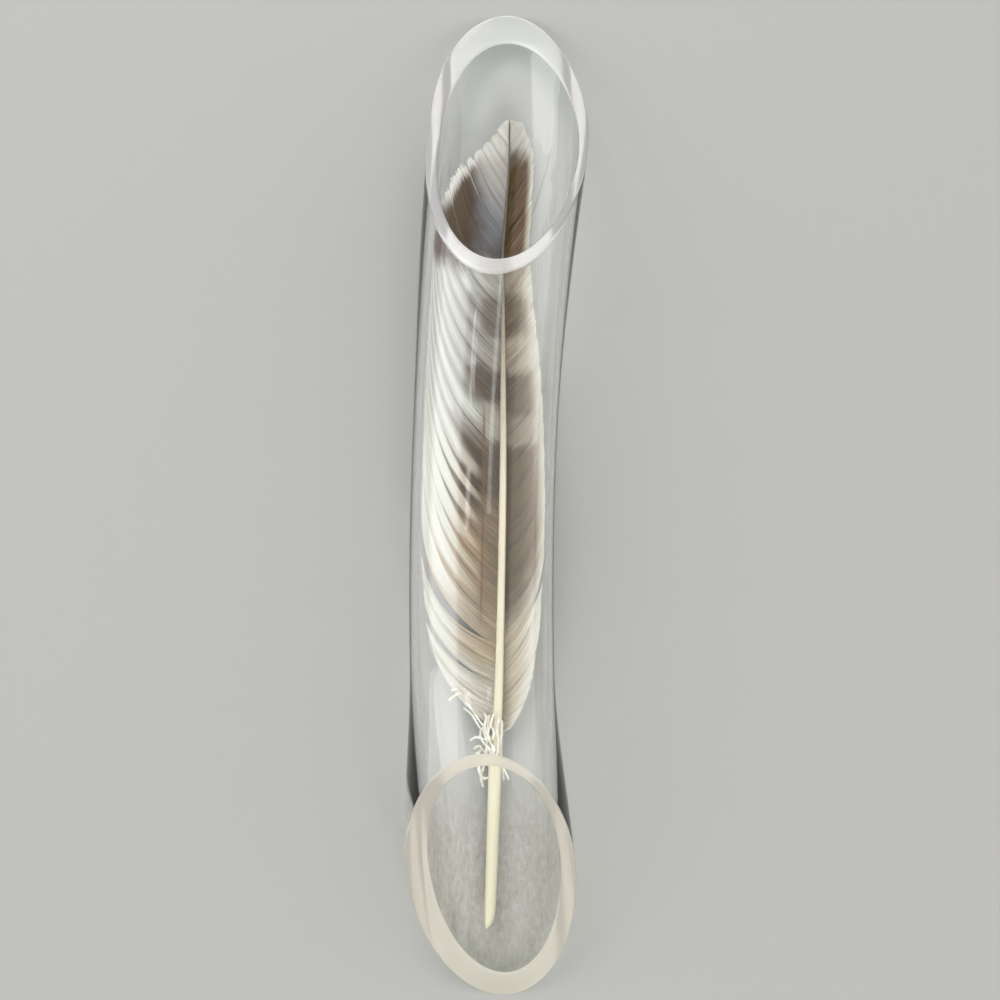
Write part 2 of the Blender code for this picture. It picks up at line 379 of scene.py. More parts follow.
QUILL_CREAM = (0.66, 0.655, 0.52)
SHAFT_CREAM = (0.67, 0.60, 0.50)
SHAFT_TIP_BROWN = (0.14, 0.115, 0.095)
FIBRE_SHADE = (0.90, 0.87, 0.79)
FIBRE_GRAIN = (2600.0, 90.0, 2600.0)
CREAM_SPAN = (VANE_BASE_Y - 0.02, VANE_BASE_Y + 0.09)
DARKENING_SPAN = (0.006, 0.070)


def read_profile(points, y):
    """Value at y of a profile given as (y, value) points."""
    return np.interp(y, [p[0] for p in points], [p[1] for p in points])


def shaft_x(y):
    """The shaft curves away from the quill's end up to the middle, and again near the tip."""
    span = SHAFT_STRAIGHT_FROM_Y - QUILL_END_Y
    back = np.maximum(0.0, SHAFT_STRAIGHT_FROM_Y - y) / span
    bend = SHAFT_TIP_BEND * ease(y, SHAFT_TIP_BEND_SPAN)
    return SHAFT_X - SHAFT_SWEEP * back ** SHAFT_BEND_POWER + bend


def feather_point(y, distance, lift):
    """Points above the bore, at a signed distance round it from the shaft's line."""
    half_width, half_height = bore_size(y, lift)
    middle_x = axis_x(y) + along(BORE_SHIFT_SIDEWAYS, y)
    shaft_turn = np.arcsin((shaft_x(y) - middle_x) / half_width)
    turn = shaft_turn + distance / (0.5 * (half_width + half_height))
    return bore_point(y, turn, lift)


def shaft_rings():
    """Rings of points round the shaft, with a groove along it between the vanes."""
    y = QUILL_END_Y + (VANE_TIP_Y - QUILL_END_Y) * np.linspace(0.0, 1.0, SHAFT_RINGS)[:, None]
    angle = np.arange(SHAFT_SIDES)[None, :] * math.tau / SHAFT_SIDES
    half = 0.5 * read_profile(SHAFT_WIDTH, y)
    side = half * np.cos(angle)
    lift = half * (1.0 + np.sin(angle))
    groove = np.exp(-((np.cos(angle) / GROOVE_WIDTH) ** 2)) * (np.sin(angle) > 0)
    lift = lift - GROOVE_DEPTH * half * groove * ease(y, GROOVE_SPAN)
    near_end = ease(-y, (-QUILL_END_Y - END_SLANT_LENGTH, -QUILL_END_Y))
    return feather_point(y + END_SLANT * (side + half) * near_end, side, CLEARANCE + lift)


def y_of(tree, place):
    split = tree.nodes.new("ShaderNodeSeparateXYZ")
    tree.links.new(place, split.inputs["Vector"])
    return split.outputs["Y"]


def horn():
    """Horn with fibres along it: greenish cream in the quill, warm cream above, dark at the tip."""
    material, tree, shader = node_material("cream horn of the quill")
    place = object_place(tree)
    y = y_of(tree, place)
    fibres = noise(tree, stretched(tree, place, FIBRE_GRAIN), 1.0, 3.0)
    tone = blend(tree, ramp(tree, y, *CREAM_SPAN), QUILL_CREAM, SHAFT_CREAM)
    tone = blend(tree, ramp(tree, y, *DARKENING_SPAN), tone, SHAFT_TIP_BROWN)
    tree.links.new(blend(tree, fibres, tone, FIBRE_SHADE, "MULTIPLY"), shader.inputs["Base Color"])
    bump = tree.nodes.new("ShaderNodeBump")
    set_inputs(bump, {"Strength": 0.25, "Distance": 0.0001})
    tree.links.new(fibres, bump.inputs["Height"])
    tree.links.new(bump.outputs["Normal"], shader.inputs["Normal"])
    set_inputs(shader, {
        "Roughness": 0.38, "Subsurface Weight": 0.25, "Subsurface Radius": (1.0, 0.8, 0.5),
        "Subsurface Scale": 0.0012,
    })
    return material


shaft_faces = faces_round(SHAFT_RINGS, SHAFT_SIDES)
shaft_faces.append(tuple(range(SHAFT_SIDES)))
shaft_faces.append(tuple((SHAFT_RINGS - 1) * SHAFT_SIDES + side for side in range(SHAFT_SIDES)))
shaft_points = shaft_rings().reshape(-1, 3) + TO_FRAME
shaft = new_piece("quill_and_shaft", shaft_points, shaft_faces, [horn()])
point_outwards(shaft)
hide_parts("feather")
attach(shaft, "root")


# ---------------------------------------------------------------- the two vanes
# Flat barbs of keratin grow out of both sides of the shaft and hook together into a web.
# They run out and curve up to the tip, part into locks that overlap like shingles, and
# curl up the walls of the tube. Each barb is a thin blade, swept along its own line.

BARBS = 520
POINTS_ON_BARB = 18
# Side -1 is the wide vane on the left, and side 1 the narrow one on the right.
FIRST_BARB_Y = {-1: -0.0640, 1: -0.0655}
# Width of each vane, measured round the bore, at the root of a barb.
LEFT_WIDTH = (
    (-0.0640, 0.0118), (-0.0625, 0.0176), (-0.0590, 0.0211), (-0.0535, 0.0247),
    (-0.0400, 0.0310), (0.0000, 0.0315), (0.0240, 0.0309), (0.0450, 0.0248), (0.0550, 0.0210),
    (0.0670, 0.0172), (0.0775, 0.0120), (0.0887, 0.0074), (0.0950, 0.0049), (0.1020, 0.0024),
    (0.1053, 0.0011), (0.1066, 0.0004),
)
RIGHT_WIDTH = (
    (-0.0655, 0.0045), (-0.0635, 0.0072), (-0.0600, 0.0106), (-0.0535, 0.0150), (-0.0430, 0.0166),
    (-0.0390, 0.0175), (-0.0210, 0.0181), (0.0130, 0.0142), (0.0470, 0.0094), (0.0600, 0.0079),
    (0.0850, 0.0070), (0.1000, 0.0038), (0.1053, 0.0011), (0.1066, 0.0004),
)
# A barb rises by its slant and its curl, times how strongly barbs sweep up at its root.
BARB_SLANT = 0.70
BARB_CURL = 31.0
LEFT_SWEEP = (
    (-0.0650, 0.80), (-0.0565, 0.63), (-0.0500, 0.56), (-0.0415, 0.63), (-0.0300, 0.98),
    (0.0450, 1.00), (0.0670, 1.20), (0.0775, 1.45), (0.0887, 1.66), (0.1020, 1.95),
)
RIGHT_SWEEP = (
    (-0.0655, 0.60), (-0.0620, 0.78), (-0.0560, 1.15), (-0.0480, 1.22), (-0.0400, 1.10),
    (-0.0300, 1.00), (0.0450, 1.00), (0.0900, 2.20),
)
# A wide slit: its root, how far it opens at the edge, and where along the barb it starts.
WIDE_SLITS = {
    -1: ((-0.0517, 0.0036, 0.22), (-0.0408, 0.0080, 0.10)),
    1: ((-0.0408, 0.0050, 0.62),),
}
# Locks: least and most for their width at the root, the slit's opening and the slit's start.
LEFT_LOCKS = ((0.0052, 0.0082), (0.0003, 0.0012), (0.14, 0.45))
RIGHT_LOCKS = ((0.0060, 0.0120), (0.0001, 0.0005), (0.55, 0.85))
LOCK_TILT = 0.0010
LOCK_CROWN = 0.0006
LOCK_ROUNDING = 0.03
FULL_LIFT_AT = 0.25
LIFT_EASES_OFF = 0.75
LIFT_EASES_OFF_SPAN = (0.35, 0.95)
LOWEST_LIFT = 0.0004
ROOT_IN_SHAFT = 0.85
ROOT_JITTER = 0.00004
RAGGED_ENDS = 0.012
RAGGED_LIMITS = (-0.03, 0.02)
BLADE_SIDES = 3
BLADE_THICKNESS = 0.30
BLADE_OVERLAP = 3.0
BLADE_TAPER = 0.55
BLADE_TAPER_SPAN = (0.80, 1.0)
SHINGLE_ANGLE = math.radians(9.0)
SHINGLE_SPREAD = 0.09
CREASE = math.radians(40.0)


def lock_edges(side, dice):
    """Slits between the locks of one vane: root, how far it opens at the edge, where it starts."""
    width, opening, start = LEFT_LOCKS if side < 0 else RIGHT_LOCKS
    wide = WIDE_SLITS[side]
    stops = [FIRST_BARB_Y[side]] + [slit[0] for slit in wide] + [VANE_TIP_Y]
    slits = []
    for low, high in zip(stops, stops[1:]):
        count = max(1, round((high - low) / (0.5 * (width[0] + width[1]))))
        shares = np.cumsum(dice.uniform(*width, count))
        for share in np.concatenate(([0.0], shares[:-1])) / shares[-1]:
            slits.append((low + share * (high - low), dice.uniform(*opening), dice.uniform(*start)))
    slits = [next((w for w in wide if abs(w[0] - slit[0]) < 1e-9), slit) for slit in slits]
    return np.array(slits + [(VANE_TIP_Y, 0.0, 0.5)])


def barb_lines(side, seed):
    """Centre lines of one vane's barbs, with what the blades and the colours need at each point."""
    # Each barb's root, its place in its lock, and how far it shifts away from the slits beside it.
    dice = np.random.default_rng(seed)
    slits = lock_edges(side, dice)
    feathered = VANE_TIP_Y - FIRST_BARB_Y[side]
    root_y = FIRST_BARB_Y[side] + feathered * (np.arange(BARBS) + 0.5) / BARBS
    root_y = root_y + dice.normal(0.0, ROOT_JITTER, BARBS)
    lock = np.clip(np.searchsorted(slits[:, 0], root_y) - 1, 0, len(slits) - 2)
    place = np.clip((root_y - slits[lock, 0]) / (slits[lock + 1, 0] - slits[lock, 0]), 0.0, 1.0)
    shift = 0.5 * (slits[lock, 1] * (1.0 - place) - slits[lock + 1, 1] * place)
    start = slits[lock, 2] * (1.0 - place) + slits[lock + 1, 2] * place

    # Its line runs out from the shaft, rises, and lifts off the bore.
    t = np.linspace(0.0, 1.0, POINTS_ON_BARB)[None, :]
    half = 0.5 * read_profile(SHAFT_WIDTH, root_y)
    width = read_profile(LEFT_WIDTH if side < 0 else RIGHT_WIDTH, root_y) - half
    round_end = 1.0 - LOCK_ROUNDING * np.abs(2.0 * place - 1.0) ** 2
    ragged = 1.0 + np.clip(dice.normal(0.0, RAGGED_ENDS, BARBS), *RAGGED_LIMITS)
    out = (width * round_end * ragged)[:, None] * t
    apart = np.clip((t - start[:, None]) / (1.0 - start[:, None]), 0.0, 1.0)
    sweep = read_profile(LEFT_SWEEP if side < 0 else RIGHT_SWEEP, root_y)[:, None]
    rise = sweep * (BARB_SLANT * out + BARB_CURL * out * out)
    y = root_y[:, None] + rise + shift[:, None] * apart
    crown = 1.0 - (2.0 * place[:, None] - 1.0) ** 2
    raised = LOCK_TILT * place[:, None] + LOCK_CROWN * crown
    raised = raised * np.minimum(1.0, t / FULL_LIFT_AT)
    lift = LOWEST_LIFT + raised * (1.0 - LIFT_EASES_OFF * ease(t, LIFT_EASES_OFF_SPAN))
    distance = side * (ROOT_IN_SHAFT * half[:, None] + out)
    line = feather_point(y, distance, lift)

    # Its blade lies along the bore, tilted like a shingle.
    step = 0.0001
    round_wall = feather_point(y, distance + step, lift) - feather_point(y, distance - step, lift)
    up_wall = feather_point(y + step, distance, lift) - feather_point(y - step, distance, lift)
    normal = np.cross(round_wall, up_wall)
    normal /= np.linalg.norm(normal, axis=-1, keepdims=True)
    tangent = np.gradient(line, axis=1)
    tangent /= np.linalg.norm(tangent, axis=-1, keepdims=True)
    beside = np.cross(tangent, normal) * -side
    lean = SHINGLE_ANGLE + dice.normal(0.0, SHINGLE_SPREAD, BARBS)[:, None, None]
    normal = normal * np.cos(lean) + beside * np.sin(lean)

    # The steeper barbs run, the closer they lie and the narrower their blades are.
    slope = sweep * (BARB_SLANT + 2.0 * BARB_CURL * out)
    blade = BLADE_OVERLAP * feathered / BARBS / np.sqrt(1.0 + slope * slope)
    blade = blade * (1.0 - BLADE_TAPER * ease(t, BLADE_TAPER_SPAN))
    facts = {"out": out, "blade": blade}
    of_each_barb = {
        "root": root_y, "place": place, "barb": dice.random(BARBS),
        "lock": dice.random(len(slits))[lock],
    }
    for fact, values in of_each_barb.items():
        facts[fact] = np.broadcast_to(values[:, None], out.shape)
    facts["length"] = np.broadcast_to(t, out.shape)
    return line, normal, facts


def line_mesh(name, lines, normals, facts):
    """A mesh of loose edges, one chain for each line, that carries its facts as attributes."""
    count, points = lines.shape[:2]
    mesh = bpy.data.meshes.new(name)
    start = np.arange(count)[:, None] * points + np.arange(points - 1)[None, :]
    edges = np.stack((start, start + 1), axis=-1).reshape(-1, 2)
    mesh.from_pydata((lines.reshape(-1, 3) + TO_FRAME).tolist(), edges.tolist(), [])
    mesh.attributes.new("up", "FLOAT_VECTOR", "POINT").data.foreach_set("vector", normals.ravel())
    for fact, values in facts.items():
        mesh.attributes.new(fact, "FLOAT", "POINT").data.foreach_set("value", values.ravel())
    piece = bpy.data.objects.new(name, mesh)
    bpy.context.collection.objects.link(piece)
    return piece


def new_tree(name, inputs, output):
    """A node tree with named inputs of a kind and perhaps a value, and one geometry output."""
    tree = bpy.data.node_groups.new(name, "GeometryNodeTree")
    for label, (kind, *default) in inputs.items():
        socket = tree.interface.new_socket(label, in_out="INPUT", socket_type="NodeSocket" + kind)
        if default:
            socket.default_value = default[0]
    tree.interface.new_socket(output, in_out="OUTPUT", socket_type="NodeSocketGeometry")
    return tree, tree.nodes.new("NodeGroupInput"), tree.nodes.new("NodeGroupOutput")


def named_attribute(tree, name, kind):
    node = tree.nodes.new("GeometryNodeInputNamedAttribute")
    node.data_type = kind
    node.inputs["Name"].default_value = name
    return node.outputs["Attribute"]


def give_finish(tree, geometry, finish, output):
    """The tree's end: real geometry instead of instances, with its material."""
    whole = tree.nodes.new("GeometryNodeRealizeInstances")
    tree.links.new(geometry, whole.inputs["Geometry"])
    finished = tree.nodes.new("GeometryNodeSetMaterial")
    tree.links.new(whole.outputs["Geometry"], finished.inputs["Geometry"])
    tree.links.new(finish, finished.inputs["Material"])
    tree.links.new(finished.outputs["Geometry"], output)


def blade_tree():
    """Geometry Nodes: sweeps a flat three-sided blade along each line, as wide as the line says."""
    tree, given, result = new_tree("blades along lines", {
        "Lines": ("Geometry",), "Thickness": ("Float", BLADE_THICKNESS), "Finish": ("Material",),
    }, "Blades")
    nodes, links = tree.nodes, tree.links

    curves = nodes.new("GeometryNodeMeshToCurve")
    links.new(given.outputs["Lines"], curves.inputs["Mesh"])
    aimed = nodes.new("GeometryNodeSetCurveNormal")
    aimed.mode = "FREE"
    links.new(curves.outputs["Curve"], aimed.inputs["Curve"])
    links.new(named_attribute(tree, "up", "FLOAT_VECTOR"), aimed.inputs["Normal"])

    profile = nodes.new("GeometryNodeCurvePrimitiveCircle")
    set_inputs(profile, {"Resolution": BLADE_SIDES, "Radius": 0.5})
    size = nodes.new("ShaderNodeCombineXYZ")
    set_inputs(size, {"X": 1.0, "Z": 1.0})
    links.new(given.outputs["Thickness"], size.inputs["Y"])
    flatten = nodes.new("GeometryNodeTransform")
    links.new(profile.outputs["Curve"], flatten.inputs["Geometry"])
    links.new(size.outputs["Vector"], flatten.inputs["Scale"])

    swept = nodes.new("GeometryNodeCurveToMesh")
    swept.inputs["Fill Caps"].default_value = True
    links.new(aimed.outputs["Curve"], swept.inputs["Curve"])
    links.new(flatten.outputs["Geometry"], swept.inputs["Profile Curve"])
    links.new(named_attribute(tree, "blade", "FLOAT"), swept.inputs["Scale"])
    give_finish(tree, swept.outputs["Mesh"], given.outputs["Finish"], result.inputs["Blades"])
    return tree


def grow(piece, tree, inputs):
    """Runs a node tree on a piece and keeps the result as a plain mesh."""
    modifier = piece.modifiers.new(tree.name, "NODES")
    modifier.node_group = tree
    for item in tree.interface.items_tree:
        if item.in_out == "INPUT" and item.name in inputs:
            modifier[item.identifier] = inputs[item.name]
    bpy.context.view_layer.update()
    state = bpy.context.evaluated_depsgraph_get()
    mesh = bpy.data.meshes.new_from_object(piece.evaluated_get(state), depsgraph=state)
    piece.modifiers.remove(modifier)
    piece.data = mesh
    mesh.name = piece.name
    point_outwards(piece)
    mesh.set_sharp_from_angle(angle=CREASE)


WHITE = (0.90, 0.90, 0.84)
CREAM = (0.72, 0.68, 0.59)
BASE_CREAM = (0.83, 0.80, 0.72)
BASE_TAN = (0.66, 0.59, 0.46)
BASE_WHITE = (0.97, 0.94, 0.86)
# Painted shade that greys the white locks towards their edges.
PAINTED_SHADE_GREY = (0.66, 0.67, 0.65)
TAN = (0.82, 0.71, 0.54)
BROWN = (0.50, 0.40, 0.28)
STRIP_BROWN = (0.31, 0.23, 0.17)
WEDGE_TAN = (0.62, 0.48, 0.33)
WEDGE_BROWN = (0.185, 0.12, 0.08)
DARK_BROWN = (0.125, 0.073, 0.024)
FADED_BROWN = (0.33, 0.26, 0.175)
BAR_BROWN = (0.215, 0.155, 0.115)
PALE_BAR = (0.50, 0.43, 0.35)
LAVENDER_GREY = (0.36, 0.37, 0.42)
PALE_TIP = (0.70, 0.67, 0.63)
TIP_WHITE = (0.84, 0.83, 0.78)
FLUSH = (0.76, 0.64, 0.50)
RUST = (0.105, 0.063, 0.042)
TIP_BROWN = (0.21, 0.13, 0.08)
PALE_STREAK = (0.48, 0.40, 0.33)
# Painted shade in the slits between the wide vane's locks.
PAINTED_SHADE_BETWEEN_LOCKS = (0.60, 0.57, 0.50)
FOLD_LINE = (0.42, 0.24, 0.11)


def smooth_step(tree, value, low, high, from_low=0.0, from_high=1.0):
    return ramp(tree, value, low, high, from_low, from_high, "SMOOTHSTEP")


def product(tree, *values):
    result = values[0]
    for value in values[1:]:
        result = maths(tree, "MULTIPLY", result, value)
    return result


def difference(tree, first, second):
    """How far apart two values are, whichever is the greater."""
    return maths(tree, "ABSOLUTE", maths(tree, "SUBTRACT", first, second))


def between(tree, value, begins, ends, after=0.0):
    """Rises to 1 across begins, and goes on to after across ends."""
    rising = smooth_step(tree, value, *begins)
    return product(tree, rising, smooth_step(tree, value, *ends, 1.0, after))


# Dark bars across a vane: middle along the feather, half length, strength, reach from the shaft.
LEFT_BARS = (
    (0.0525, 0.0058, 0.72, 0.0058), (0.0460, 0.0140, 0.30, 0.0115), (0.0333, 0.0060, 0.90, 0.0095),
    (0.0095, 0.0080, 0.35, 0.0050),
)
RIGHT_BARS = (
    (0.0528, 0.0058, 0.75, 0.0200), (0.0308, 0.0068, 0.85, 0.0200), (0.0205, 0.0060, 0.42, 0.0200),
    (-0.0085, 0.0255, 1.00, 0.0200),
)
BAR_TAPER = {-1: 0.22, 1: 0.04}
BAR_SOFTNESS = 0.0021
BAR_FADES = (0.60, 1.50)


def bars(tree, side, position, out):
    """Strongest dark of all the bars; each one rises and narrows a little away from the shaft."""
    dark = 0.0
    taper = product(tree, out, BAR_TAPER[side])
    for middle, half, strength, reach in LEFT_BARS if side < 0 else RIGHT_BARS:
        from_middle = difference(tree, maths(tree, "SUBTRACT", position, middle), taper)
        from_middle = maths(tree, "ADD", from_middle, taper)
        bar = smooth_step(tree, from_middle, half - BAR_SOFTNESS, half + BAR_SOFTNESS, strength, 0.0)
        fades = smooth_step(tree, out, BAR_FADES[0] * reach, BAR_FADES[1] * reach, 1.0, 0.0)
        dark = maths(tree, "MAXIMUM", dark, product(tree, bar, fades))
    return dark


# The wide vane's zones: two places along the feather, or two distances from the shaft, between
# which a zone begins, ends or turns into the next one. Two more values give what it goes from
# and to, where that isn't 0 and 1.
STRIP_WIDTH = 0.0045
STRIP_EDGE = (STRIP_WIDTH - 0.0006, STRIP_WIDTH + 0.0026, 1.0, 0.0)
STRIP_BEGINS = (-0.054, -0.040)
STRIP_FADES = (0.020, 0.055)
STRIP_FADES_TO = 0.45
STRIP_TO_BROWN = (0.006, -0.004)
STRIP_TO_TAN = (-0.016, -0.044)
STRIP_TO_CREAM = (0.015, 0.020)
WEDGE_REACH = 0.0170
WEDGE_POINTEDNESS = 1.3
LEAST_WEDGE = 0.35
WEDGE_EDGE = (-0.0026, 0.0042)
WEDGE_OFF_SHAFT = (0.0035, 0.0055)
WEDGES_BEGIN = (-0.034, -0.014)
WEDGES_END = (0.010, 0.030)
WEDGES_TO_TAN = (0.006, -0.012)
# Painted shade in the slits between locks: how pointed it is, and how it grows along the feather.
PAINTED_SHADE_POINTEDNESS = 3.0
PAINTED_SHADE_GROWS = (-0.055, -0.042, 0.1, 0.55)
# Painted shade greying the locks towards their edges, in the upper part of the vane.
EDGE_SHADE_BEGINS = (0.012, 0.036)
EDGE_SHADE_IN_LOCK = (0.15, 0.85, 0.2, 1.0)
TO_BASE_WHITE = (-0.043, -0.053)
FLUSH_EDGE = (0.0060, 0.0170, 0.85, 0.0)
FLUSH_BEGINS = (-0.047, -0.040)
FLUSH_ENDS = (0.004, 0.024)
DARK_LOCK_ROOT = 0.0080
DARK_LOCK_SIDES = (0.0016, 0.0058, 0.85, 0.0)
DARK_LOCK_REACH = (0.0085, 0.0165, 1.0, 0.0)
FOLD_EDGE = (0.0001, 0.0005, 0.85, 0.0)
FOLD_BEGINS = (-0.036, -0.026)
FOLD_ENDS = (0.022, 0.030)


def wide_vane_colour(tree, y, position, wander, facts):
    """White locks, greyed towards their edges and darkened at the slits by painted shade, with a warm
    flush and one dark lock, over a brown strip by the shaft; brown wedges reach out of the strip
    between the locks, and bars cross it further up."""
    out = facts["out"]
    off_middle = difference(tree, product(tree, facts["place"], 2.0), 1.0)
    # Painted shade: in the upper part of the vane, each lock greys towards its edges.
    painted_edge_shade = smooth_step(tree, off_middle, *EDGE_SHADE_IN_LOCK)
    pale = blend(tree, product(tree, smooth_step(tree, y, *EDGE_SHADE_BEGINS), painted_edge_shade), WHITE, PAINTED_SHADE_GREY)
    pale = blend(tree, smooth_step(tree, y, *TO_BASE_WHITE), pale, BASE_WHITE)
    # Painted shade: each lock darkens towards the slits at its sides, more strongly above the base.
    painted_slit_shade = smooth_step(tree, y, *PAINTED_SHADE_GROWS)
    painted_slit_shade = product(tree, maths(tree, "POWER", off_middle, PAINTED_SHADE_POINTEDNESS), painted_slit_shade)
    colour = blend(tree, painted_slit_shade, pale, PAINTED_SHADE_BETWEEN_LOCKS)

    flush = smooth_step(tree, out, *FLUSH_EDGE)
    flush = product(tree, flush, between(tree, y, FLUSH_BEGINS, FLUSH_ENDS))
    colour = blend(tree, flush, colour, FLUSH)
    off_dark_lock = difference(tree, facts["root"], DARK_LOCK_ROOT)
    dark_lock = smooth_step(tree, off_dark_lock, *DARK_LOCK_SIDES)
    dark_lock_here = smooth_step(tree, maths(tree, "ADD", out, wander), *DARK_LOCK_REACH)
    colour = blend(tree, product(tree, dark_lock, dark_lock_here), colour, BAR_BROWN)

    ground = blend(tree, smooth_step(tree, y, *STRIP_TO_BROWN), STRIP_BROWN, BROWN)
    ground = blend(tree, smooth_step(tree, y, *STRIP_TO_TAN), ground, TAN)
    ground = blend(tree, smooth_step(tree, y, *STRIP_TO_CREAM), ground, CREAM)
    strip = smooth_step(tree, out, *STRIP_EDGE)
    strip = product(tree, strip, between(tree, y, STRIP_BEGINS, STRIP_FADES, STRIP_FADES_TO))
    colour = blend(tree, strip, colour, ground)

    wedge = maths(tree, "POWER", off_middle, WEDGE_POINTEDNESS)
    wedge = product(tree, wedge, maths(tree, "ADD", facts["lock"], LEAST_WEDGE), WEDGE_REACH)
    reach = maths(tree, "ADD", maths(tree, "ADD", wedge, STRIP_WIDTH), wander)
    wedges = smooth_step(tree, maths(tree, "SUBTRACT", reach, out), *WEDGE_EDGE)
    off_shaft = smooth_step(tree, out, *WEDGE_OFF_SHAFT)
    wedges = product(tree, wedges, between(tree, y, WEDGES_BEGIN, WEDGES_END), off_shaft)
    wedge_colour = blend(tree, smooth_step(tree, y, *WEDGES_TO_TAN), WEDGE_BROWN, WEDGE_TAN)
    colour = blend(tree, wedges, colour, wedge_colour)
    colour = blend(tree, bars(tree, -1, position, out), colour, BAR_BROWN)
    fold = smooth_step(tree, difference(tree, out, STRIP_WIDTH), *FOLD_EDGE)
    fold = product(tree, fold, between(tree, y, FOLD_BEGINS, FOLD_ENDS))
    return blend(tree, fold, colour, FOLD_LINE)


# The narrow vane's zones: shares of a barb's length, and places of its root along the feather.
NEAR_TO_FAR = (0.22, 0.88)
# The cream outer edge is partly the vane's own colour and partly a painted highlight.
PALE_EDGE_AND_HIGHLIGHT = (0.58, 0.97)
BASE_TO_CREAM = (0.20, 0.80)
TO_BASE = (-0.0240, -0.0450)


def narrow_vane_colour(tree, y, position, wander, facts):
    """Brown bars on a paler ground; cream towards the edge, partly the vane's own colour and partly a
    painted highlight; and tan to cream down at the base.
    """
    dark = bars(tree, 1, position, facts["out"])
    near = blend(tree, dark, PALE_BAR, DARK_BROWN)
    far = blend(tree, dark, CREAM, FADED_BROWN)
    colour = blend(tree, smooth_step(tree, facts["length"], *NEAR_TO_FAR), near, far)
    # Cream towards the outer edge: partly the vane's own paler colour, partly a painted highlight.
    colour = blend(tree, smooth_step(tree, facts["length"], *PALE_EDGE_AND_HIGHLIGHT), colour, BASE_CREAM)
    base = blend(tree, smooth_step(tree, facts["length"], *BASE_TO_CREAM), BASE_TAN, BASE_CREAM)
    at_base = smooth_step(tree, maths(tree, "ADD", facts["root"], wander), *TO_BASE)
    return blend(tree, at_base, colour, base)


# The tip's zones: distances from the shaft, places along the feather and shares of a barb.
NARROW_BY_SHAFT = (0.0012, 0.0026)
STREAKS_SHOW = (0.52, 0.70)
NARROW_EDGE = (0.68, 0.95)
LAVENDER_EDGE = (0.0035, 0.0105)
TO_PALE_TIP = (0.072, 0.088)
RUST_RETURNS = (0.078, 0.068, 0.0, 0.7)
TIP_STREAKS = 0.4


def tip_colour(tree, side, y, wander, facts):
    """The last broad bar: grey by the shaft and rust outside on the wide vane, with a pale end;
    brown with pale streaks on the narrow one."""
    if side > 0:
        by_shaft = smooth_step(tree, facts["out"], *NARROW_BY_SHAFT)
        colour = blend(tree, by_shaft, DARK_BROWN, TIP_BROWN)
        streak = product(tree, smooth_step(tree, facts["streaks"], *STREAKS_SHOW), by_shaft, TIP_STREAKS)
        colour = blend(tree, streak, colour, PALE_STREAK)
        return blend(tree, smooth_step(tree, facts["length"], *NARROW_EDGE), colour, CREAM)
    outside = smooth_step(tree, maths(tree, "ADD", facts["out"], wander), *LAVENDER_EDGE)
    colour = blend(tree, outside, LAVENDER_GREY, RUST)
    colour = blend(tree, smooth_step(tree, facts["root"], *TO_PALE_TIP), colour, PALE_TIP)
    return blend(tree, smooth_step(tree, y, *RUST_RETURNS), colour, RUST)


STREAK_SCALE = 900.0
STREAK_ALONG_BARB = 0.12
STREAK_SLIP = 0.004
CLOUD_SCALE = 130.0
CLOUD_WANDER = 0.006
TIP_BEGINS = (0.064, 0.071)
WHITE_RIM = (0.86, 0.96)
WHITE_RIM_BEGINS = (0.080, 0.088)
WHITE_END = (0.0950, 0.1015, 0.0, 0.9)
UNEVEN = (0.25, 0.75, 0.88, 1.04)


def vane_material(name, side):
    """Matt keratin, painted by place, by barb and by lock, with fine streaks along the barbs."""
    material, tree, shader = node_material(name)
    place = object_place(tree)
    y = y_of(tree, place)
    facts = {fact: attribute(tree, fact) for fact in ("out", "root", "place", "barb", "lock", "length")}

    on_barb = tree.nodes.new("ShaderNodeCombineXYZ")
    tree.links.new(facts["root"], on_barb.inputs["X"])
    tree.links.new(product(tree, facts["out"], STREAK_ALONG_BARB), on_barb.inputs["Y"])
    streaks = noise(tree, on_barb.outputs["Vector"], STREAK_SCALE, 3.0)
    facts["streaks"] = streaks
    cloud = noise(tree, place, CLOUD_SCALE, 2.0)
    wander = product(tree, maths(tree, "SUBTRACT", cloud, 0.5), CLOUD_WANDER)
    slip = product(tree, maths(tree, "SUBTRACT", streaks, 0.5), STREAK_SLIP)
    position = maths(tree, "ADD", maths(tree, "ADD", y, wander), slip)

    paint = wide_vane_colour if side < 0 else narrow_vane_colour
    colour = paint(tree, y, position, wander, facts)
    tip = tip_colour(tree, side, y, wander, facts)
    colour = blend(tree, smooth_step(tree, position, *TIP_BEGINS), colour, tip)
    rim = smooth_step(tree, facts["length"], *WHITE_RIM)
    rim = product(tree, rim, smooth_step(tree, y, *WHITE_RIM_BEGINS))
    rim = maths(tree, "MAXIMUM", rim, smooth_step(tree, position, *WHITE_END))
    colour = blend(tree, rim, colour, TIP_WHITE)

    uneven = maths(tree, "ADD", product(tree, facts["barb"], 0.5), product(tree, streaks, 0.5))
    shade = smooth_step(tree, uneven, *UNEVEN)
    grey = tree.nodes.new("ShaderNodeCombineColor")
    for channel in ("Red", "Green", "Blue"):
        tree.links.new(shade, grey.inputs[channel])
    colour = blend(tree, 1.0, colour, grey.outputs["Color"], "MULTIPLY")
    tree.links.new(colour, shader.inputs["Base Color"])
    set_inputs(shader, {
        "Roughness": 0.75, "Specular IOR Level": 0.25, "Sheen Weight": 0.05, "Sheen Roughness": 0.4,
        "Subsurface Weight": 0.4, "Subsurface Radius": (1.0, 0.9, 0.75), "Subsurface Scale": 0.0006,
    })
    return material


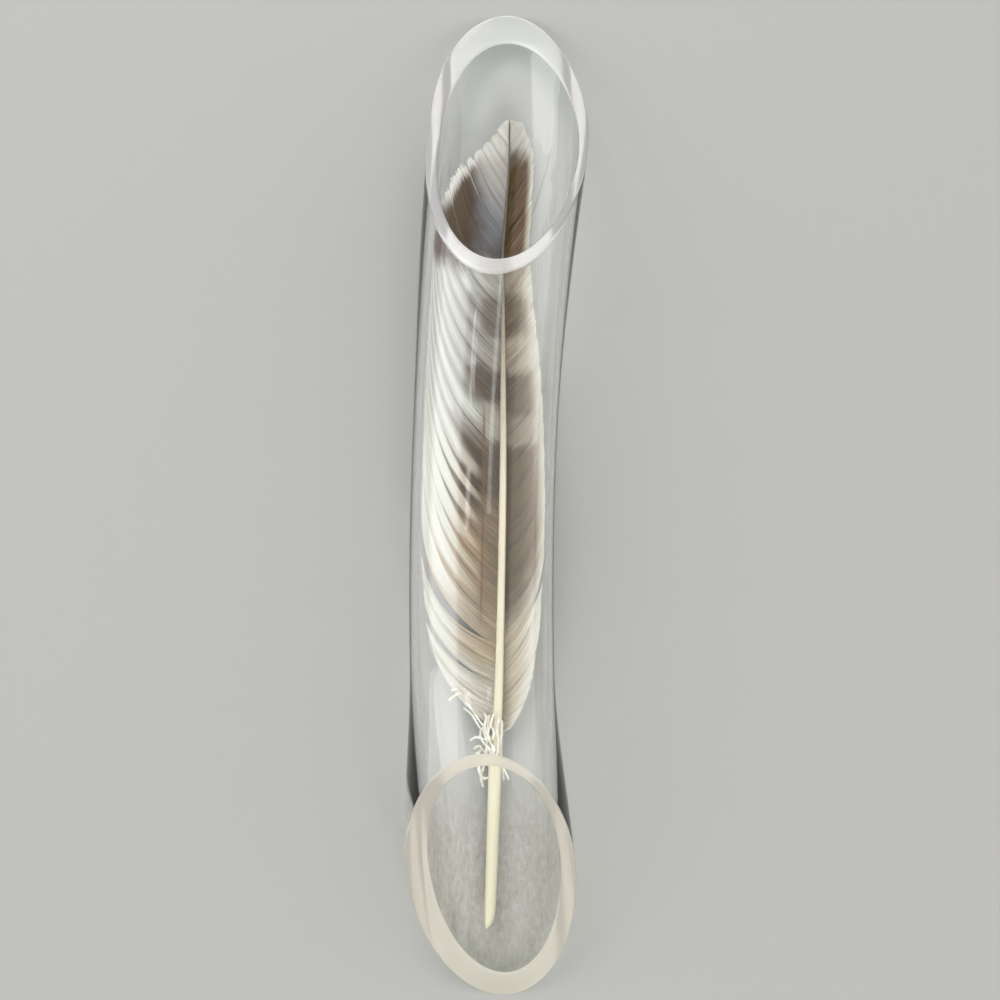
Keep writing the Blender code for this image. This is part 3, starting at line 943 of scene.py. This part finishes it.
blades = blade_tree()
for side, name, seed in ((-1, "wide_vane", 11), (1, "narrow_vane", 23)):
    vane = line_mesh(name, *barb_lines(side, seed))
    barbs = vane_material(name.replace("_", " ") + " barbs", side)
    grow(vane, blades, {"Thickness": BLADE_THICKNESS, "Finish": barbs})
    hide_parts("feather")
    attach(vane, "root")


# ---------------------------------------------------------------- down at the base
# Below the vanes, loose plumes of white down hang on to the bare quill. Each one is a
# limp, curling rib set all round with short, hair-thin barbules, and lies in the bore.

# Each plume: distance from the shaft's line, place along the feather and height off the glass.
PLUMES = (
    ((-0.0034, -0.0640, 0.0016), (-0.0048, -0.0627, 0.0016), (-0.0066, -0.0602, 0.0014),
     (-0.0086, -0.0573, 0.0010)),
    ((-0.0030, -0.0648, 0.0020), (-0.0052, -0.0640, 0.0014), (-0.0074, -0.0606, 0.0010),
     (-0.0100, -0.0586, 0.0007)),
    ((-0.0080, -0.0545, 0.0010), (-0.0112, -0.0544, 0.0012), (-0.0130, -0.0552, 0.0012),
     (-0.0146, -0.0562, 0.0010)),
    ((-0.0092, -0.0532, 0.0010), (-0.0116, -0.0530, 0.0012), (-0.0138, -0.0536, 0.0010)),
    ((-0.0024, -0.0612, 0.0030), (-0.0030, -0.0655, 0.0026), (-0.0024, -0.0676, 0.0034),
     (-0.0007, -0.0697, 0.0046), (-0.0010, -0.0722, 0.0046)),
    ((-0.0030, -0.0620, 0.0020), (-0.0050, -0.0656, 0.0014), (-0.0040, -0.0682, 0.0026),
     (-0.0016, -0.0702, 0.0044), (-0.0004, -0.0718, 0.0047)),
    ((-0.0028, -0.0676, 0.0018), (-0.0044, -0.0671, 0.0016), (-0.0064, -0.0668, 0.0014),
     (-0.0082, -0.0677, 0.0012)),
    ((-0.0026, -0.0712, 0.0014), (-0.0041, -0.0705, 0.0014), (-0.0054, -0.0692, 0.0013),
     (-0.0072, -0.0701, 0.0010)),
    ((-0.0022, -0.0700, 0.0022), (-0.0036, -0.0718, 0.0018), (-0.0049, -0.0738, 0.0014),
     (-0.0046, -0.0768, 0.0012), (-0.0033, -0.0783, 0.0012), (-0.0017, -0.0781, 0.0016)),
    ((-0.0030, -0.0740, 0.0012), (-0.0040, -0.0777, 0.0010), (-0.0034, -0.0808, 0.0008)),
    ((0.0014, -0.0728, 0.0026), (0.0022, -0.0748, 0.0016), (0.0030, -0.0764, 0.0012),
     (0.0042, -0.0786, 0.0010)),
    ((0.0016, -0.0740, 0.0020), (0.0023, -0.0762, 0.0012), (0.0026, -0.0789, 0.0008)),
    ((-0.0014, -0.0606, 0.0034), (-0.0018, -0.0632, 0.0040), (-0.0010, -0.0650, 0.0046),
     (-0.0014, -0.0672, 0.0046)),
    ((0.0014, -0.0640, 0.0036), (0.0012, -0.0664, 0.0044), (0.0004, -0.0688, 0.0047),
     (0.0010, -0.0708, 0.0044)),
    ((-0.0040, -0.0598, 0.0016), (-0.0028, -0.0626, 0.0026), (-0.0032, -0.0650, 0.0022),
     (-0.0020, -0.0668, 0.0034)),
    ((-0.0048, -0.0706, 0.0010), (-0.0070, -0.0716, 0.0009), (-0.0102, -0.0732, 0.0008),
     (-0.0136, -0.0757, 0.0007)),
    ((-0.0022, -0.0604, 0.0026), (-0.0036, -0.0634, 0.0026), (-0.0034, -0.0664, 0.0026),
     (-0.0026, -0.0694, 0.0030), (-0.0014, -0.0716, 0.0042)),
    ((-0.0012, -0.0600, 0.0036), (-0.0022, -0.0632, 0.0036), (-0.0026, -0.0662, 0.0032),
     (-0.0014, -0.0690, 0.0044), (-0.0004, -0.0726, 0.0048)),
    ((-0.0030, -0.0606, 0.0022), (-0.0042, -0.0646, 0.0018), (-0.0030, -0.0678, 0.0024),
     (-0.0032, -0.0706, 0.0022), (-0.0018, -0.0732, 0.0036)),
    ((0.0012, -0.0618, 0.0036), (0.0015, -0.0650, 0.0036), (0.0013, -0.0684, 0.0036),
     (0.0016, -0.0722, 0.0032)),
    ((0.0004, -0.0612, 0.0044), (0.0000, -0.0646, 0.0046), (0.0006, -0.0676, 0.0046),
     (0.0002, -0.0712, 0.0048)),
    ((-0.0020, -0.0690, 0.0026), (-0.0034, -0.0712, 0.0020), (-0.0046, -0.0744, 0.0015),
     (-0.0040, -0.0774, 0.0013), (-0.0026, -0.0786, 0.0013)),
)
POINTS_ON_PLUME = 40
RIB_WIDTH = 0.00052
RIB_SIDES = 4
BARBULE_SPACING = 0.00014
BARBULE_LENGTH = 0.0009
BARBULE_THICKNESS = 0.070
BARBULE_SIDES = 3
# A barbule of unit length: rings at a place along it, bent sideways, with their share of its thickness.
BARBULE_SHAPE = ((0.0, 0.0, 1.0), (0.35, 0.03, 0.9), (0.7, 0.12, 0.7), (1.0, 0.30, 0.25))
BARBULE_SEED = 7
# Least and most turn of a barbule about each axis, for the dice of Geometry Nodes.
LEAST_TURN = (-0.35, -0.5, 0.0)
MOST_TURN = (0.35, 0.1, math.tau)
SMALLEST_BARBULE = 0.45
PATCH_SCALE = 400.0
CREAM_PATCHES = (0.35, 0.65)


def smooth_route(stops, count):
    """A smooth line through the given points, by Catmull-Rom."""
    stops = np.array(stops)
    just_short_of_end = len(stops) - 1.000001
    padded = np.concatenate((2 * stops[:1] - stops[1:2], stops, 2 * stops[-1:] - stops[-2:-1]))
    route = []
    for u in np.linspace(0.0, just_short_of_end, count):
        i, t = int(u), u - int(u)
        a, b, c, d = padded[i:i + 4]
        route.append(b + 0.5 * t * (c - a + t * (2 * a - 5 * b + 4 * c - d + t * (3 * (b - c) + d - a))))
    return np.array(route)


def barbule(name):
    """One barbule, a unit long along X, three-sided, bent and tapered."""
    bm = bmesh.new()
    rings = []
    for x, y, share in BARBULE_SHAPE:
        radius = share * BARBULE_THICKNESS
        ring = []
        for corner in range(BARBULE_SIDES):
            turn = corner * math.tau / BARBULE_SIDES
            ring.append(bm.verts.new((x, y + radius * math.cos(turn), radius * math.sin(turn))))
        rings.append(ring)
    for low, high in zip(rings, rings[1:]):
        for corner in range(BARBULE_SIDES):
            after = (corner + 1) % BARBULE_SIDES
            bm.faces.new((low[corner], low[after], high[after], high[corner]))
    bm.faces.new(rings[0][::-1])
    bm.faces.new(rings[-1])
    mesh = bpy.data.meshes.new(name)
    bm.to_mesh(mesh)
    bm.free()
    return bpy.data.objects.new(name, mesh)


def plume_tree():
    """Geometry Nodes: gives each line a thin rib and sets barbules all round it."""
    tree, given, result = new_tree("down plumes on lines", {
        "Lines": ("Geometry",), "Rib Width": ("Float", RIB_WIDTH), "Spacing": ("Float", BARBULE_SPACING),
        "Barbule": ("Object",), "Barbule Length": ("Float", BARBULE_LENGTH),
        "Seed": ("Int", BARBULE_SEED), "Finish": ("Material",),
    }, "Plumes")
    nodes, links = tree.nodes, tree.links

    curves = nodes.new("GeometryNodeMeshToCurve")
    links.new(given.outputs["Lines"], curves.inputs["Mesh"])
    profile = nodes.new("GeometryNodeCurvePrimitiveCircle")
    profile.inputs["Resolution"].default_value = RIB_SIDES
    links.new(maths(tree, "MULTIPLY", given.outputs["Rib Width"], 0.5), profile.inputs["Radius"])
    ribs = nodes.new("GeometryNodeCurveToMesh")
    ribs.inputs["Fill Caps"].default_value = True
    links.new(curves.outputs["Curve"], ribs.inputs["Curve"])
    links.new(profile.outputs["Curve"], ribs.inputs["Profile Curve"])

    spots = nodes.new("GeometryNodeCurveToPoints")
    spots.mode = "LENGTH"
    links.new(curves.outputs["Curve"], spots.inputs["Curve"])
    links.new(given.outputs["Spacing"], spots.inputs["Length"])
    around = nodes.new("FunctionNodeRandomValue")
    around.data_type = "FLOAT_VECTOR"
    set_inputs(around, {"Min": LEAST_TURN, "Max": MOST_TURN})
    links.new(given.outputs["Seed"], around.inputs["Seed"])
    as_rotation = nodes.new("FunctionNodeEulerToRotation")
    links.new(around.outputs["Value"], as_rotation.inputs["Euler"])
    turned = nodes.new("FunctionNodeRotateRotation")
    turned.rotation_space = "LOCAL"
    links.new(spots.outputs["Rotation"], turned.inputs["Rotation"])
    links.new(as_rotation.outputs["Rotation"], turned.inputs["Rotate By"])
    size = nodes.new("FunctionNodeRandomValue")
    set_inputs(size, {"Min": SMALLEST_BARBULE, "Max": 1.0})
    links.new(given.outputs["Seed"], size.inputs["Seed"])
    length = maths(tree, "MULTIPLY", size.outputs[1], given.outputs["Barbule Length"])

    one = nodes.new("GeometryNodeObjectInfo")
    links.new(given.outputs["Barbule"], one.inputs["Object"])
    copies = nodes.new("GeometryNodeInstanceOnPoints")
    links.new(spots.outputs["Points"], copies.inputs["Points"])
    links.new(one.outputs["Geometry"], copies.inputs["Instance"])
    links.new(turned.outputs["Rotation"], copies.inputs["Rotation"])
    links.new(length, copies.inputs["Scale"])

    together = nodes.new("GeometryNodeJoinGeometry")
    links.new(ribs.outputs["Mesh"], together.inputs["Geometry"])
    links.new(copies.outputs["Instances"], together.inputs["Geometry"])
    give_finish(tree, together.outputs["Geometry"], given.outputs["Finish"], result.inputs["Plumes"])
    return tree


def down_material():
    """White down, a little creamier in places."""
    material, tree, shader = node_material("white down")
    patches = noise(tree, object_place(tree), PATCH_SCALE, 2.0)
    colour = blend(tree, smooth_step(tree, patches, *CREAM_PATCHES), WHITE, CREAM)
    tree.links.new(colour, shader.inputs["Base Color"])
    set_inputs(shader, {
        "Roughness": 0.8, "Sheen Weight": 0.2, "Subsurface Weight": 0.3,
        "Subsurface Radius": (1.0, 0.9, 0.75), "Subsurface Scale": 0.0004,
    })
    return material


plume_routes = [smooth_route(stops, POINTS_ON_PLUME) for stops in PLUMES]
plume_lines = np.array([feather_point(route[:, 1], route[:, 0], route[:, 2]) for route in plume_routes])
down = line_mesh("base_down", plume_lines, np.zeros_like(plume_lines), {})
one_barbule = barbule("one_barbule")
grow(down, plume_tree(), {
    "Rib Width": RIB_WIDTH, "Spacing": BARBULE_SPACING, "Barbule": one_barbule,
    "Barbule Length": BARBULE_LENGTH, "Seed": BARBULE_SEED, "Finish": down_material(),
})
bpy.data.objects.remove(one_barbule)
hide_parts("feather")
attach(down, "root")


# ---------------------------------------------------------------- floor, light and camera
# A plain pale table, large soft boxes beyond both ends and to both sides, two small ones
# overhead that draw the long streaks on the glass, and the camera straight above.

FLOOR_SIZE = 8.0
FLOOR_GREY = (0.37, 0.37, 0.36, 1.0)
FLOOR_ROUGHNESS = 0.9
MIDDLE = (0.0, 0.0, 0.0)
STREAKS_AIM = (0.0, 0.011, 0.04)
# Each lamp: place, what it is aimed at, both sizes and watts.
LAMPS = {
    "upper_end_box": ((-0.25, 1.05, 0.85), MIDDLE, 0.60, 0.60, 9.5),
    "lower_end_box": ((0.25, -1.05, 0.85), MIDDLE, 0.60, 0.60, 7.0),
    "left_side_box": ((-0.95, 0.10, 0.36), MIDDLE, 0.45, 1.2, 3.2),
    "right_side_box": ((0.97, 0.0, 0.28), MIDDLE, 0.40, 1.2, 0.9),
    "left_streak_strip": ((-0.34, 0.011, 0.75), STREAKS_AIM, 0.040, 0.060, 0.036),
    "right_streak_strip": ((0.12, 0.011, 0.80), STREAKS_AIM, 0.040, 0.040, 0.022),
}
SKY_COLOUR = (0.85, 0.84, 0.815, 1.0)
SKY_HEIGHTS = (0.70, 0.95)
SKY_STRENGTHS = (1.07, 0.56)
CAMERA_PLACE = (0.00085, 0.00145, 0.750)
CAMERA_LENS = 95.3
CAMERA_SENSOR = 36.0


def studio_floor():
    material, tree, shader = node_material("pale matt table")
    set_inputs(shader, {"Base Color": FLOOR_GREY, "Roughness": FLOOR_ROUGHNESS})
    h = 0.5 * FLOOR_SIZE
    corners = ((-h, -h, 0.0), (h, -h, 0.0), (h, h, 0.0), (-h, h, 0.0))
    return new_piece("studio_floor", corners, [(0, 1, 2, 3)], [material])


def soft_box(name, place, aim, width, height, watts):
    lamp = bpy.data.lights.new(name, "AREA")
    lamp.shape = "RECTANGLE"
    lamp.size = width
    lamp.size_y = height
    lamp.energy = watts
    box = bpy.data.objects.new(name, lamp)
    box.location = place
    box.rotation_euler = (Vector(aim) - Vector(place)).to_track_quat("-Z", "Y").to_euler()
    bpy.context.collection.objects.link(box)


studio_floor()
for lamp_name, lamp_values in LAMPS.items():
    soft_box(lamp_name, *lamp_values)

# The sky glows softly from the sides and less straight overhead.
world = bpy.data.worlds.new("studio")
world.use_nodes = True
sky = world.node_tree
directions = sky.nodes.new("ShaderNodeTexCoord")
height = sky.nodes.new("ShaderNodeSeparateXYZ")
sky.links.new(directions.outputs["Generated"], height.inputs["Vector"])
glow = smooth_step(sky, height.outputs["Z"], *SKY_HEIGHTS, *SKY_STRENGTHS)
sky.links.new(glow, sky.nodes["Background"].inputs["Strength"])
sky.nodes["Background"].inputs["Color"].default_value = SKY_COLOUR
bpy.context.scene.world = world

camera_data = bpy.data.cameras.new("camera")
camera_data.lens = CAMERA_LENS
camera_data.sensor_width = CAMERA_SENSOR
camera = bpy.data.objects.new("camera", camera_data)
camera.location = CAMERA_PLACE
bpy.context.collection.objects.link(camera)
scene = bpy.context.scene
scene.camera = camera
scene.view_settings.view_transform = "Standard"
